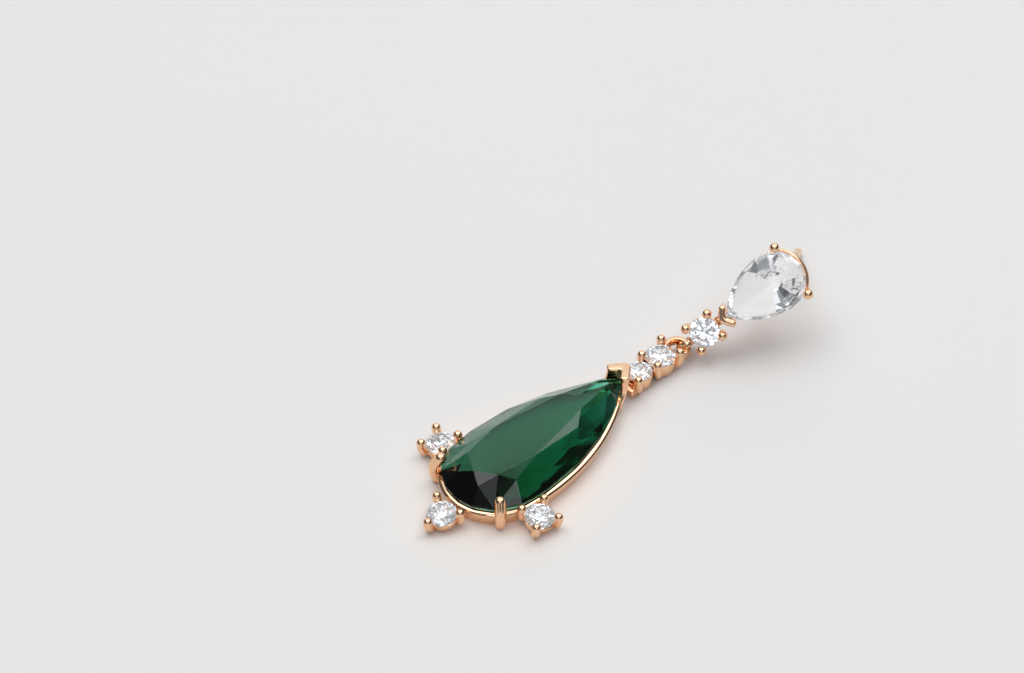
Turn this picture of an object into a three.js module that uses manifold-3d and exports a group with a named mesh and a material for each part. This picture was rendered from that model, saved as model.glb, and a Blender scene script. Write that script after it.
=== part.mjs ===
import * as THREE from "three";
import { mergeVertices } from "three/addons/utils/BufferGeometryUtils.js";
import Module from "manifold-3d";

const wasm = await Module();
wasm.setup();

// Sizes in millimetres. A pear is drawn from its tip at the origin with its round end on +Y.
const greenPear = {
  sideRadius: 23.6,
  sideAcross: 18.3,
  sideAlong: 14.9,
  endRadius: 5.15,
  endAlong: 17.25,
};
const clearPear = {
  sideRadius: 7.2,
  sideAcross: 4.2,
  sideAlong: 5.85,
  endRadius: 3,
  endAlong: 5.85,
};
const pearSideSteps = 11;
const pearEndSteps = 14;

// Heights of the two pear stones: green ones above the floor, clear ones above the stone's own seat
const greenHeights = { table: 4.2, star: 3.6, girdleTop: 2.2, girdleBottom: 2, culet: 0.35 };
const clearHeights = { table: 1.15, star: 0.85, girdleTop: 0.2, girdleBottom: 0, culet: -2.05 };

// Round stones: height of each level for a stone of radius 1
const roundLevels = { table: 0.36, star: 0.25, girdleTop: 0.04, girdleBottom: -0.04, culet: -0.76 };
const smallRadius = 1.5;
const linkRadius = 1.3;

// Bezel of the green stone, as a loop of outward distance and height
const bezelSection = [
  { out: -0.6, high: 0 },
  { out: -0.12, high: 0 },
  { out: 0.27, high: 1.35 },
  { out: 0.22, high: 1.5 },
  { out: -0.2, high: 1.72 },
  { out: -0.42, high: 1.5 },
];
const bezelProng = { along: 20.49, across: 4.02, high: 3.2, radius: 0.56, stand: 0.6 };

// Chevron cap over the green tip: corner, half angle and widths
const capAngle = THREE.MathUtils.degToRad(39.2);
const cap = {
  arm: 2.35,
  lipWidth: 0.86,
  lipBottom: 3.05,
  top: 3.72,
  walls: [
    { corner: -0.7, width: 0.36, high: 0.15 },
    { corner: -0.8, width: 0.42, high: 2.15 },
    { corner: -1.04, width: 0.7, high: 2.7 },
    { corner: -1.06, width: 0.8, high: 3.2 },
  ],
};
const capBevel = 0.12;

// Chevron prong at the tip of the clear pear
const clawAngle = THREE.MathUtils.degToRad(54.3);
const claw = {
  arm: 1.6,
  lipWidth: 0.68,
  lipBottom: 0.33,
  top: 0.86,
  walls: [
    { corner: -0.84, width: 0.62, high: -1.5 },
    { corner: -0.84, width: 0.62, high: 0.45 },
  ],
};

// Round settings of the drop. Y runs from the green tip to the bottom of the drop.
const sideRound = { across: 6.78, along: 17.91, high: 1.39, azimuth: 11, tilt: 9.9 };
const sideSetting = { reach: 1.8, ballHigh: 0.45, depth: 1.18 };
const bottomRound = { along: 24.25, high: 1.34, tilt: 9 };
const bottomSetting = { reach: 1.84, ballHigh: 0.45, depth: 1.15 };
const innerLine = { along: -2.25, high: 1.64 };
const outerLine = { along: -5.12, high: 1.69 };
const lineBallHigh = 0.4;
const farProng = { across: 1.29, along: -1.37 };
const sharedProng = { across: 1.08, along: 1.47 };
const innerProng = { across: 1.15, along: 1.3 };
const prongRadius = 0.32;
const ribRadius = 0.4;
const ballRadius = 0.43;

// A round stone's cup, below the stone's girdle, and the ribs that its prongs make on it
const cup = { top: -0.2, wall: 0.17, bulge: 0.6, bulgeIn: 0.02, baseIn: 0.2, hole: 0.45 };
const rib = { footIn: 0.38, rise: 0.43, knee: -0.45, kneeIn: 0.14 };

// Low bars that tie the cups together: in the drop, and in the upper part
const dropBars = [
  { width: 0.9, length: 1.5, height: 0.7, along: -1.05, high: 0.55 },
  { width: 1, length: 1.7, height: 0.7, along: -3.7, high: 0.5 },
  { width: 0.9, length: 1.5, height: 0.6, along: 22.75, high: 0.5 },
];
const upperBars = [
  { width: 0.9, length: 2.3, height: 0.7, along: -0.6, high: -1.2 },
  { width: 0.6, length: 0.8, height: 0.7, along: -3.65, high: -1.2 },
];

// Flat ring at the top of the drop and the upright eye that it hangs from
const ring = { along: -7.4, high: 1.05, radius: 1.05, wire: 0.28 };
const eye = { along: -4.9, high: -1.28, inner: 0.65, outer: 1.15, half: 0.3 };

// Upper part: where it lies, its back, and the post behind it
const upperPlace = new THREE.Vector3(2.628, 11.43, 4.518);
const upperPitch = THREE.MathUtils.degToRad(32.18);
const upperRoll = THREE.MathUtils.degToRad(46.36);
const upperHeading = THREE.MathUtils.degToRad(-25.53);
const backDepthTip = 2.3;
const backDepthEnd = 3.1;
const clearLength = clearPear.endAlong + clearPear.endRadius;
const upperRound = { along: -2.65, across: 1.31, reach: 1.27, ballHigh: 0.36, depth: 1.5 };
const ballProng = { across: 2.76, along: 7.82, high: 0.75, radius: 0.5, shaft: 0.36 };
const post = { along: 7.14, start: -2.7, end: -13.84, radius: 0.39, groove: 0.3 };

const gold = { color: 0xe2a672, roughness: 0.14, metalness: 1 };
const emerald = { color: 0x0a4a2e, roughness: 0.05, metalness: 0 };
const crystal = { color: 0xeef1f3, roughness: 0.04, metalness: 0 };

// A closed geometry as a solid that can be joined or cut
function solidOf(geometry) {
  const bare = geometry.clone();
  bare.deleteAttribute("normal");
  bare.deleteAttribute("uv");
  const merged = mergeVertices(bare, 1e-4);
  return new wasm.Manifold(
    new wasm.Mesh({
      numProp: 3,
      vertProperties: merged.attributes.position.array,
      triVerts: new Uint32Array(merged.index.array),
    }),
  );
}

function joinAll(geometries) {
  return geometries.map(solidOf).reduce((whole, piece) => whole.add(piece));
}

function geometryOf(solid) {
  const { vertProperties, triVerts } = solid.getMesh();
  return new THREE.BufferGeometry()
    .setAttribute("position", new THREE.BufferAttribute(vertProperties, 3))
    .setIndex(new THREE.BufferAttribute(triVerts, 1));
}

function namedMesh(name, geometry, look) {
  const mesh = new THREE.Mesh(geometry, new THREE.MeshStandardMaterial({ ...look, flatShading: true }));
  mesh.name = name;
  return mesh;
}

// Rings of equal length joined in order. A loop closes on its first ring, a stack is capped at both ends.
function loft(rings, isLoop) {
  const count = rings[0].length;
  const faces = [];
  const spans = isLoop ? rings.length : rings.length - 1;
  for (let k = 0; k < spans; k++) {
    const low = k * count;
    const high = ((k + 1) % rings.length) * count;
    for (let i = 0; i < count; i++) {
      const next = (i + 1) % count;
      faces.push(low + i, low + next, high + next);
      faces.push(low + i, high + next, high + i);
    }
  }
  if (!isLoop) {
    const last = (rings.length - 1) * count;
    for (let i = 1; i < count - 1; i++) {
      faces.push(0, i + 1, i);
      faces.push(last, last + i, last + i + 1);
    }
  }
  return new THREE.BufferGeometry().setFromPoints(rings.flat()).setIndex(faces);
}

// Outline of a pear, grown outward by a distance, as points that run round it from the tip
function pearOutline(pear, grow) {
  const side = pear.sideRadius + grow;
  const end = pear.endRadius + grow;
  const turn = Math.atan2(pear.endAlong - pear.sideAlong, pear.sideAcross);
  const start = -Math.acos(pear.sideAcross / side);
  const points = [];
  for (let i = 0; i < pearSideSteps; i++) {
    const angle = THREE.MathUtils.lerp(start, turn, i / pearSideSteps);
    const across = side * Math.cos(angle) - pear.sideAcross;
    points.push(new THREE.Vector2(across, pear.sideAlong + side * Math.sin(angle)));
  }
  for (let i = 0; i <= pearEndSteps; i++) {
    const angle = THREE.MathUtils.lerp(turn, Math.PI - turn, i / pearEndSteps);
    points.push(new THREE.Vector2(end * Math.cos(angle), pear.endAlong + end * Math.sin(angle)));
  }
  const mirrored = points.slice(1, pearSideSteps).reverse();
  return [...points, ...mirrored.map((p) => new THREE.Vector2(-p.x, p.y))];
}

// Half width of a pear at a distance from its tip
function pearHalfWidth(pear, along) {
  const side = Math.sqrt(pear.sideRadius ** 2 - (along - pear.sideAlong) ** 2) - pear.sideAcross;
  const end = Math.sqrt(Math.max(0, pear.endRadius ** 2 - (along - pear.endAlong) ** 2));
  return along > pear.endAlong ? end : side;
}

// Corners given for one half from the tip to the end, with the other half mirrored behind them
function mirroredRing(half, high) {
  const inner = half.filter((corner) => corner.across > 0).reverse();
  return [
    ...half.map((corner) => new THREE.Vector3(corner.across, corner.along, high)),
    ...inner.map((corner) => new THREE.Vector3(-corner.across, corner.along, high)),
  ];
}

// A cut stone: flat table, eight star facets, eight kites, sixteen girdle facets and a pointed pavilion
function cutStone(table, star, girdleTop, girdleBottom, culet) {
  const points = [...table, ...star, ...girdleTop, ...girdleBottom, culet];
  const starAt = 8;
  const topAt = 16;
  const bottomAt = 32;
  const culetAt = 48;
  const faces = [];
  for (let i = 0; i < 8; i++) {
    const next = (i + 1) % 8;
    const foot = 2 * i;
    const middle = foot + 1;
    const nextFoot = (foot + 2) % 16;
    if (i > 0 && i < 7) faces.push(0, i, i + 1);
    faces.push(i, starAt + i, next);
    faces.push(i, topAt + foot, starAt + i);
    faces.push(next, starAt + i, topAt + nextFoot);
    faces.push(starAt + i, topAt + foot, topAt + middle);
    faces.push(starAt + i, topAt + middle, topAt + nextFoot);
  }
  for (let i = 0; i < 16; i++) {
    const next = (i + 1) % 16;
    faces.push(topAt + i, bottomAt + i, bottomAt + next);
    faces.push(topAt + i, bottomAt + next, topAt + next);
    faces.push(bottomAt + i, culetAt, bottomAt + next);
  }
  return new THREE.BufferGeometry().setFromPoints(points).setIndex(faces);
}

function pearStone(pear, heights, tableHalf, starHalf, stations, culetAlong) {
  const girdle = stations.map((along) => ({ across: pearHalfWidth(pear, along), along }));
  girdle[0].across = 0;
  girdle[girdle.length - 1].across = 0;
  return cutStone(
    mirroredRing(tableHalf, heights.table),
    mirroredRing(starHalf, heights.star),
    mirroredRing(girdle, heights.girdleTop),
    mirroredRing(girdle, heights.girdleBottom),
    new THREE.Vector3(0, culetAlong, heights.culet),
  );
}

function greenStone() {
  const tableHalf = [
    { across: 0, along: 5.9 },
    { across: 1.4, along: 7.1 },
    { across: 2.7, along: 14.4 },
    { across: 2.07, along: 18.8 },
    { across: 0, along: 20.1 },
  ];
  const starHalf = [
    { across: 0.45, along: 2.4 },
    { across: 2.65, along: 8.7 },
    { across: 3.3, along: 17.6 },
    { across: 1.35, along: 20.8 },
  ];
  const stations = [0, 3, 6.6, 10.8, 15.4, 18.5, 20.9, 22.05, 22.4];
  return pearStone(greenPear, greenHeights, tableHalf, starHalf, stations, 15.5);
}

function clearStone() {
  const tableHalf = [
    { across: 0, along: 2.2 },
    { across: 1.05, along: 2.9 },
    { across: 1.85, along: 5.3 },
    { across: 1.3, along: 7.1 },
    { across: 0, along: 7.7 },
  ];
  const starHalf = [
    { across: 0.6, along: 1.7 },
    { across: 1.75, along: 3.8 },
    { across: 2, along: 6.5 },
    { across: 0.85, along: 8 },
  ];
  const stations = [0, 0.9, 2.1, 3.8, 5.6, 6.9, 7.95, 8.6, 8.85];
  return pearStone(clearPear, clearHeights, tableHalf, starHalf, stations, 5.6);
}

function roundStone(radius) {
  const circle = (count, size, turn, high) =>
    Array.from({ length: count }, (_, i) => {
      const angle = ((i + turn) / count) * 2 * Math.PI;
      const reach = size * radius;
      return new THREE.Vector3(reach * Math.cos(angle), reach * Math.sin(angle), high * radius);
    });
  return cutStone(
    circle(8, 0.58, 0, roundLevels.table),
    circle(8, 0.76, 0.5, roundLevels.star),
    circle(16, 1, 0, roundLevels.girdleTop),
    circle(16, 1, 0, roundLevels.girdleBottom),
    new THREE.Vector3(0, 0, roundLevels.culet * radius),
  );
}

// A round rod along a smooth curve through the given points
function rod(points, radius, steps) {
  const section = new THREE.Shape().absarc(0, 0, radius, 0, 2 * Math.PI);
  const path = new THREE.CatmullRomCurve3(points);
  return new THREE.ExtrudeGeometry(section, { steps, curveSegments: 4, extrudePath: path });
}

function ball(centre, radius) {
  return new THREE.SphereGeometry(radius, 8, 5).translate(centre.x, centre.y, centre.z);
}

function barBox(bar) {
  return new THREE.BoxGeometry(bar.width, bar.length, bar.height).translate(0, bar.along, bar.high);
}

// One prong of a round setting: a rib up the cup, a rod past the stone's edge and a ball on top
function prong(x, y, ballHigh, depth) {
  const reach = Math.hypot(x, y);
  const out = (radius, high) => new THREE.Vector3((x * radius) / reach, (y * radius) / reach, high);
  const tip = out(reach, ballHigh);
  const foot = out(reach - rib.footIn, rib.rise - depth);
  const knee = out(reach - rib.kneeIn, rib.knee);
  return [
    rod([foot, knee], ribRadius, 1),
    ball(foot, ribRadius),
    rod([knee, out(reach + 0.03, 0.05), tip], prongRadius, 2),
    ball(tip, ballRadius),
  ];
}

// A bulging cup under a round stone, open at its base, with its prongs
function roundSetting(stoneRadius, prongPlaces, ballHigh, depth) {
  const profile = [
    new THREE.Vector2(cup.hole, -depth),
    new THREE.Vector2(stoneRadius - cup.baseIn, -depth),
    new THREE.Vector2(stoneRadius - cup.bulgeIn, -depth * cup.bulge),
    new THREE.Vector2(stoneRadius, cup.top),
    new THREE.Vector2(stoneRadius - cup.wall, cup.top),
    new THREE.Vector2(cup.hole, -depth),
  ];
  const wall = new THREE.LatheGeometry(profile, 16).rotateX(Math.PI / 2);
  return [wall, ...prongPlaces.flatMap(([x, y]) => prong(x, y, ballHigh, depth))];
}

// Places round a stone at a reach, from angles in degrees
function prongRing(angles, reach) {
  return angles.map((angle) => {
    const turn = THREE.MathUtils.degToRad(angle);
    return [reach * Math.cos(turn), reach * Math.sin(turn)];
  });
}

// The matrix of a stone's seat, leaning outward along an azimuth in degrees
function seatMatrix(x, y, z, azimuth, tilt) {
  const turn = new THREE.Euler(0, THREE.MathUtils.degToRad(tilt), THREE.MathUtils.degToRad(azimuth), "ZYX");
  return new THREE.Matrix4().makeRotationFromEuler(turn).setPosition(x, y, z);
}

// Corners of a chevron that opens towards +Y, with its outer corner at a place on Y
function chevronPoints(corner, halfAngle, arm, width) {
  const along = new THREE.Vector2(Math.sin(halfAngle), Math.cos(halfAngle));
  const outerEnd = along.clone().multiplyScalar(arm).add(new THREE.Vector2(0, corner));
  const innerEnd = outerEnd.clone().add(new THREE.Vector2(-along.y, along.x).multiplyScalar(width));
  return [
    new THREE.Vector2(0, corner),
    outerEnd,
    innerEnd,
    new THREE.Vector2(0, corner + width / Math.sin(halfAngle)),
    new THREE.Vector2(-innerEnd.x, innerEnd.y),
    new THREE.Vector2(-outerEnd.x, outerEnd.y),
  ];
}

// A stack of outlines that aren't convex, with its ends filled by triangles of the outline's own
function stack(levels) {
  const walls = loft(levels, true).index.array;
  const count = levels[0].length;
  const sides = Array.from(walls).slice(0, (levels.length - 1) * count * 6);
  const outline = levels[0].map((p) => new THREE.Vector2(p.x, p.y));
  const last = (levels.length - 1) * count;
  const caps = THREE.ShapeUtils.triangulateShape(outline, []);
  const ends = caps.flatMap(([a, b, c]) => [a, c, b, last + a, last + b, last + c]);
  return new THREE.BufferGeometry().setFromPoints(levels.flat()).setIndex([...sides, ...ends]);
}

// A bent strap over a pear's tip: a wall outside the stone and a lip over its edge
function chevronCap(size, halfAngle) {
  const outerCorner = size.walls[size.walls.length - 1].corner;
  const lipCorner = outerCorner + capBevel / Math.sin(halfAngle);
  const lipWidth = size.lipWidth - 2 * capBevel;
  const lipPoints = chevronPoints(lipCorner, halfAngle, size.arm - 2 * capBevel, lipWidth);
  const levels = size.walls.map(({ corner, width, high }) =>
    chevronPoints(corner, halfAngle, size.arm, width).map((p) => new THREE.Vector3(p.x, p.y, high)),
  );
  const wall = stack(levels);
  const lip = new THREE.ExtrudeGeometry(new THREE.Shape(lipPoints), {
    depth: size.top - size.lipBottom - 2 * capBevel,
    bevelThickness: capBevel,
    bevelSize: capBevel,
    bevelSegments: 2,
  }).translate(0, 0, size.lipBottom + capBevel);
  return [wall, lip];
}

function bezelWall() {
  const rings = bezelSection.map(({ out, high }) =>
    pearOutline(greenPear, out).map((p) => new THREE.Vector3(p.x, p.y, high)),
  );
  return loft(rings, true);
}

// A prong of the green stone: a thick rod that stands outside the bezel and bends over the edge
function bezelProngs() {
  const centre = new THREE.Vector2(0, greenPear.endAlong);
  return [-1, 1].flatMap((sign) => {
    const tip = new THREE.Vector2(sign * bezelProng.across, bezelProng.along);
    const out = tip.clone().sub(centre).normalize();
    const at = (radius, high) =>
      new THREE.Vector3(centre.x + out.x * radius, centre.y + out.y * radius, high);
    const stand = greenPear.endRadius + bezelProng.stand;
    const reach = tip.distanceTo(centre);
    const foot = bezelProng.radius;
    const points = [
      at(stand - 0.2, foot),
      at(stand, 1.3),
      at(stand + 0.03, 2.3),
      at(reach + 0.05, bezelProng.high),
    ];
    const shaft = rod(points, bezelProng.radius - 0.03, 6);
    return [shaft, ball(points[0], foot), ball(points[3], foot)];
  });
}

function dropRing() {
  return new THREE.TorusGeometry(ring.radius, ring.wire, 8, 20).translate(0, ring.along, ring.high);
}

// The same place on both sides of the middle line
function bothSides({ across, along }) {
  return [across, -across].map((x) => [x, along]);
}

const quarter = [45, 135, 225, 315];
const third = [0, 120, 240];
const { across: sideAcross, along: sideAlong, high: sideHigh, azimuth: sideTurn, tilt: sideTilt } = sideRound;
const seats = {
  left: seatMatrix(-sideAcross, sideAlong, sideHigh, 180 - sideTurn, sideTilt),
  right: seatMatrix(sideAcross, sideAlong, sideHigh, sideTurn, sideTilt),
  bottom: seatMatrix(0, bottomRound.along, bottomRound.high, 90, bottomRound.tilt),
  inner: seatMatrix(0, innerLine.along, innerLine.high, 0, 0),
  outer: seatMatrix(0, outerLine.along, outerLine.high, 0, 0),
};

function dropFrame() {
  const ringed = ({ reach, ballHigh, depth }, angles) =>
    roundSetting(smallRadius, prongRing(angles, reach), ballHigh, depth);
  const side = ringed(sideSetting, quarter);
  const bottom = ringed(bottomSetting, third);
  const inner = roundSetting(linkRadius, bothSides(innerProng), lineBallHigh, innerLine.high);
  const outerProngs = [...bothSides(farProng), ...bothSides(sharedProng)];
  const outer = roundSetting(smallRadius, outerProngs, lineBallHigh, outerLine.high);
  const placed = (pieces, seat) => pieces.map((piece) => piece.clone().applyMatrix4(seat));
  return joinAll([
    bezelWall(),
    ...bezelProngs(),
    ...chevronCap(cap, capAngle),
    ...placed(side, seats.left),
    ...placed(side, seats.right),
    ...placed(bottom, seats.bottom),
    ...placed(inner, seats.inner),
    ...placed(outer, seats.outer),
    ...dropBars.map(barBox),
    dropRing(),
  ]);
}

// Back of the clear pear's cup, deeper towards the round end
function backHeight(along) {
  return -THREE.MathUtils.lerp(backDepthTip, backDepthEnd, along / clearLength);
}

// Body of the clear pear's cup, closed behind and hollow under the stone
function pearCup() {
  const wallTop = -0.3;
  const layers = [
    { out: -0.75, share: 1 },
    { out: -0.35, share: 0.88 },
    { out: -0.12, share: 0.45 },
    { out: -0.05, share: 0 },
  ];
  const body = layers.map(({ out, share }) =>
    pearOutline(clearPear, out).map(
      (p) => new THREE.Vector3(p.x, p.y, THREE.MathUtils.lerp(wallTop, backHeight(p.y), share)),
    ),
  );
  const hollow = [
    { out: -1.5, high: -2.12 },
    { out: -0.42, high: wallTop },
    { out: -0.42, high: 0.5 },
  ].map(({ out, high }) => pearOutline(clearPear, out).map((p) => new THREE.Vector3(p.x, p.y, high)));
  return solidOf(loft(body, false)).subtract(solidOf(loft(hollow, false)));
}

// The two ball prongs at the round end and the thin rim between them
function cupProngs() {
  const centre = new THREE.Vector2(0, clearPear.endAlong);
  const tip = new THREE.Vector2(ballProng.across, ballProng.along);
  const reach = tip.distanceTo(centre);
  const tipAngle = Math.atan2(ballProng.along - centre.y, ballProng.across);
  const at = (angle, radius, high) =>
    new THREE.Vector3(radius * Math.cos(angle), centre.y + radius * Math.sin(angle), high);
  const pieces = [tipAngle, Math.PI - tipAngle].flatMap((angle) => {
    const points = [
      at(angle, clearPear.endRadius - 0.25, -1.6),
      at(angle, reach - 0.1, -0.6),
      at(angle, reach + 0.03, 0.1),
      at(angle, reach, ballProng.high),
    ];
    return [rod(points, ballProng.shaft, 6), ball(points[3], ballProng.radius)];
  });
  const rimPoints = Array.from({ length: 13 }, (_, i) =>
    at(THREE.MathUtils.lerp(tipAngle, Math.PI - tipAngle, i / 12), clearPear.endRadius + 0.04, -0.3),
  );
  return [...pieces, rod(rimPoints, 0.21, 16)];
}

// The ear post with two friction grooves and a rounded end
function earPost() {
  const length = post.start - post.end;
  const at = (share) => post.start - share * length;
  const profile = [
    new THREE.Vector2(0, post.start),
    new THREE.Vector2(post.radius, post.start),
    new THREE.Vector2(post.radius, at(0.69)),
    new THREE.Vector2(post.groove, at(0.71)),
    new THREE.Vector2(post.radius, at(0.73)),
    new THREE.Vector2(post.radius, at(0.84)),
    new THREE.Vector2(post.groove, at(0.86)),
    new THREE.Vector2(post.radius, at(0.88)),
    new THREE.Vector2(post.radius + 0.03, at(0.985)),
    new THREE.Vector2(post.radius - 0.1, post.end),
    new THREE.Vector2(0, post.end),
  ].reverse();
  return new THREE.LatheGeometry(profile, 12).rotateX(Math.PI / 2).translate(0, post.along, 0);
}

// The upright eye behind the small cup
function upperEye() {
  const middle = (eye.inner + eye.outer) / 2;
  const profile = [
    new THREE.Vector2(eye.inner, -eye.half / 2),
    new THREE.Vector2(middle, -eye.half),
    new THREE.Vector2(eye.outer, -eye.half / 2),
    new THREE.Vector2(eye.outer, eye.half / 2),
    new THREE.Vector2(middle, eye.half),
    new THREE.Vector2(eye.inner, eye.half / 2),
    new THREE.Vector2(eye.inner, -eye.half / 2),
  ];
  return new THREE.LatheGeometry(profile, 20).rotateZ(Math.PI / 2).translate(0, eye.along, eye.high);
}

function upperFrame() {
  const places = [-1, 1].flatMap((x) => [-1, 1].map((y) => [x * upperRound.across, y * upperRound.reach]));
  const setting = roundSetting(smallRadius, places, upperRound.ballHigh, upperRound.depth).map((piece) =>
    piece.translate(0, upperRound.along, 0),
  );
  return joinAll([
    ...cupProngs(),
    ...chevronCap(claw, clawAngle),
    ...setting,
    ...upperBars.map(barBox),
    upperEye(),
    earPost(),
  ]).add(pearCup());
}

function seatedStone(name, radius, seat) {
  return namedMesh(name, roundStone(radius).applyMatrix4(seat), crystal);
}

function buildDrop() {
  const drop = new THREE.Group();
  drop.add(
    namedMesh("drop_frame", geometryOf(dropFrame()), gold),
    namedMesh("green_pear_stone", greenStone(), emerald),
    seatedStone("round_stone_2", smallRadius, seats.outer),
    seatedStone("round_stone_3", linkRadius, seats.inner),
    seatedStone("round_stone_4", smallRadius, seats.right),
    seatedStone("round_stone_5", smallRadius, seats.left),
    seatedStone("round_stone_6", smallRadius, seats.bottom),
  );
  drop.rotation.z = Math.PI;
  return drop;
}

function buildUpper() {
  const upper = new THREE.Group();
  upper.add(
    namedMesh("upper_frame", geometryOf(upperFrame()), gold),
    namedMesh("clear_pear_stone", clearStone(), crystal),
    seatedStone("round_stone_1", smallRadius, seatMatrix(0, upperRound.along, 0, 0, 0)),
  );
  upper.position.copy(upperPlace);
  upper.rotation.set(upperPitch, upperRoll, upperHeading, "ZXY");
  return upper;
}

const earring = new THREE.Group();
earring.add(buildDrop(), buildUpper());

// The origin is the middle of the earring's footprint, on the surface that it lies on
const extent = new THREE.Box3().setFromObject(earring, true);
const middle = extent.getCenter(new THREE.Vector3());
for (const half of earring.children) {
  half.position.sub(new THREE.Vector3(middle.x, middle.y, extent.min.z));
}

export default earring;
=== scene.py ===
import math
import bmesh
import bpy
from mathutils import Matrix, Vector


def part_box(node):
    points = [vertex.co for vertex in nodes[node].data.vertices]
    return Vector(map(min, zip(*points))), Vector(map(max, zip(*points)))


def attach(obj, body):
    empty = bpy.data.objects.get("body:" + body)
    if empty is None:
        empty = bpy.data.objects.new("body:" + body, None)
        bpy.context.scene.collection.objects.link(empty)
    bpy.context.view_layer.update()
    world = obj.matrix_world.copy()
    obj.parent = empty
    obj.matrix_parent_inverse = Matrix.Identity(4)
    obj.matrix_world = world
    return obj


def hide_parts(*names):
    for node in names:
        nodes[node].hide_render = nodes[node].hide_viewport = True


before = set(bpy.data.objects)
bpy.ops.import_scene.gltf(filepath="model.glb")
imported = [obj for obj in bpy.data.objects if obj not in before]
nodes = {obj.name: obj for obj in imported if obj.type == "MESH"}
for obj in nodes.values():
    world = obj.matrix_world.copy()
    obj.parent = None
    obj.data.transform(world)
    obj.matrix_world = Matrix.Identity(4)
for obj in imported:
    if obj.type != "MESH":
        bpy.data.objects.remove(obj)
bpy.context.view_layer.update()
millimetre = 0.001
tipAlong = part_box("green_pear_stone")[1].y  # the green tip, where the drop's own measures start

# The drop is modelled from the green tip, the upper part from the tip of the clear pear, both in millimetres
dropPlace = (
    Matrix.Translation((0, tipAlong, 0))
    @ Matrix.Rotation(math.pi, 4, "Z")
    @ Matrix.Scale(millimetre, 4)
)
upperValues = {
    "across": 2.628, "along": 11.43, "high": 4.518, "heading": -25.53, "pitch": 32.18, "roll": 46.36,
}
upperSpot = Vector((upperValues["across"], upperValues["along"], upperValues["high"])) * millimetre
upperPlace = (
    Matrix.Translation(upperSpot + Vector((0, tipAlong, 0)))
    @ Matrix.Rotation(math.radians(upperValues["heading"]), 4, "Z")
    @ Matrix.Rotation(math.radians(upperValues["pitch"]), 4, "X")
    @ Matrix.Rotation(math.radians(upperValues["roll"]), 4, "Y")
    @ Matrix.Scale(millimetre, 4)
)


# Shader maths: a Wire is one socket, and an expression on wires adds its Math nodes
class Wire:
    def __init__(self, tree, socket):
        self.tree = tree
        self.socket = socket

    def maths(self, operation, first, second):
        node = self.tree.nodes.new("ShaderNodeMath")
        node.operation = operation
        for slot, value in zip(node.inputs, (first, second)):
            plug(self.tree, slot, value)
        return Wire(self.tree, node.outputs[0])

    def __add__(self, other):
        return self.maths("ADD", self, other)

    def __radd__(self, other):
        return self.maths("ADD", other, self)

    def __sub__(self, other):
        return self.maths("SUBTRACT", self, other)

    def __rsub__(self, other):
        return self.maths("SUBTRACT", other, self)

    def __mul__(self, other):
        return self.maths("MULTIPLY", self, other)

    def __rmul__(self, other):
        return self.maths("MULTIPLY", other, self)


def plug(tree, slot, value):
    if isinstance(value, Wire):
        tree.links.new(value.socket, slot)
    elif isinstance(value, (tuple, list)) and slot.type == "RGBA" and len(value) == 3:
        slot.default_value = (*value, 1)
    else:
        slot.default_value = value


class Finish:
    def __init__(self, name, owner=None):
        self.owner = owner or bpy.data.materials.new(name)
        self.owner.use_nodes = True
        self.tree = self.owner.node_tree
        self.tree.nodes.clear()

    def node(self, kind, settings=None, inputs=None, output=0):
        made = self.tree.nodes.new("ShaderNode" + kind)
        for key, value in (settings or {}).items():
            setattr(made, key, value)
        for key, value in (inputs or {}).items():
            plug(self.tree, made.inputs[key], value)
        return Wire(self.tree, made.outputs[output])

    def millimetres(self):
        here = self.node("TexCoord", output="Object")
        return self.node("Mapping", {}, {"Vector": here, "Scale": (1 / millimetre,) * 3})

    def clouds(self, scale, detail=2.0):
        return self.node("TexNoise", {}, {"Vector": self.millimetres(), "Scale": scale, "Detail": detail})

    def blend(self, share, first, second):
        return self.node("Mix", {"data_type": "RGBA"}, {0: share, 6: first, 7: second}, 2)

    def show(self, surface, volume=None):
        end = self.tree.nodes.new("ShaderNodeOutputMaterial")
        self.tree.links.new(surface.socket, end.inputs["Surface"])
        if volume:
            self.tree.links.new(volume.socket, end.inputs["Volume"])
        return self.owner


# Materials
goldLook = {
    "warm": (0.93, 0.55, 0.32),
    "pale": (0.97, 0.64, 0.42),
    "cloudScale": 0.9,
    "cloudDetail": 3.0,
    "grainScale": 9.0,
    "grainDetail": 4.0,
    "roughness": 0.09,
    "unevenness": 0.07,
    "polishing": 0.004,
    "polishingStrength": 0.25,
}


def goldFinish():
    finish = Finish("rose_gold")
    clouds = finish.clouds(goldLook["cloudScale"], goldLook["cloudDetail"])
    grain = finish.clouds(goldLook["grainScale"], goldLook["grainDetail"])
    colour = finish.blend(clouds, goldLook["warm"], goldLook["pale"])
    depth = goldLook["polishing"] * millimetre
    bump = finish.node(
        "Bump", {}, {"Height": grain, "Strength": goldLook["polishingStrength"], "Distance": depth}
    )
    surface = finish.node(
        "BsdfPrincipled",
        {},
        {
            "Base Color": colour,
            "Metallic": 1.0,
            "Roughness": goldLook["roughness"] + goldLook["unevenness"] * (grain - 0.5),
            "Normal": bump,
        },
    )
    return finish.show(surface)


greenLook = {
    "edge": (0.5, 0.82, 0.72),
    "body": (0.58, 0.88, 0.78),
    "absorbed": (0.02, 0.65, 0.48),
    "density": 700.0,
    "bend": 1.5,
    "cloudScale": 0.35,
    "roughness": 0.001,
    "unevenness": 0.006,
}


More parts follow.
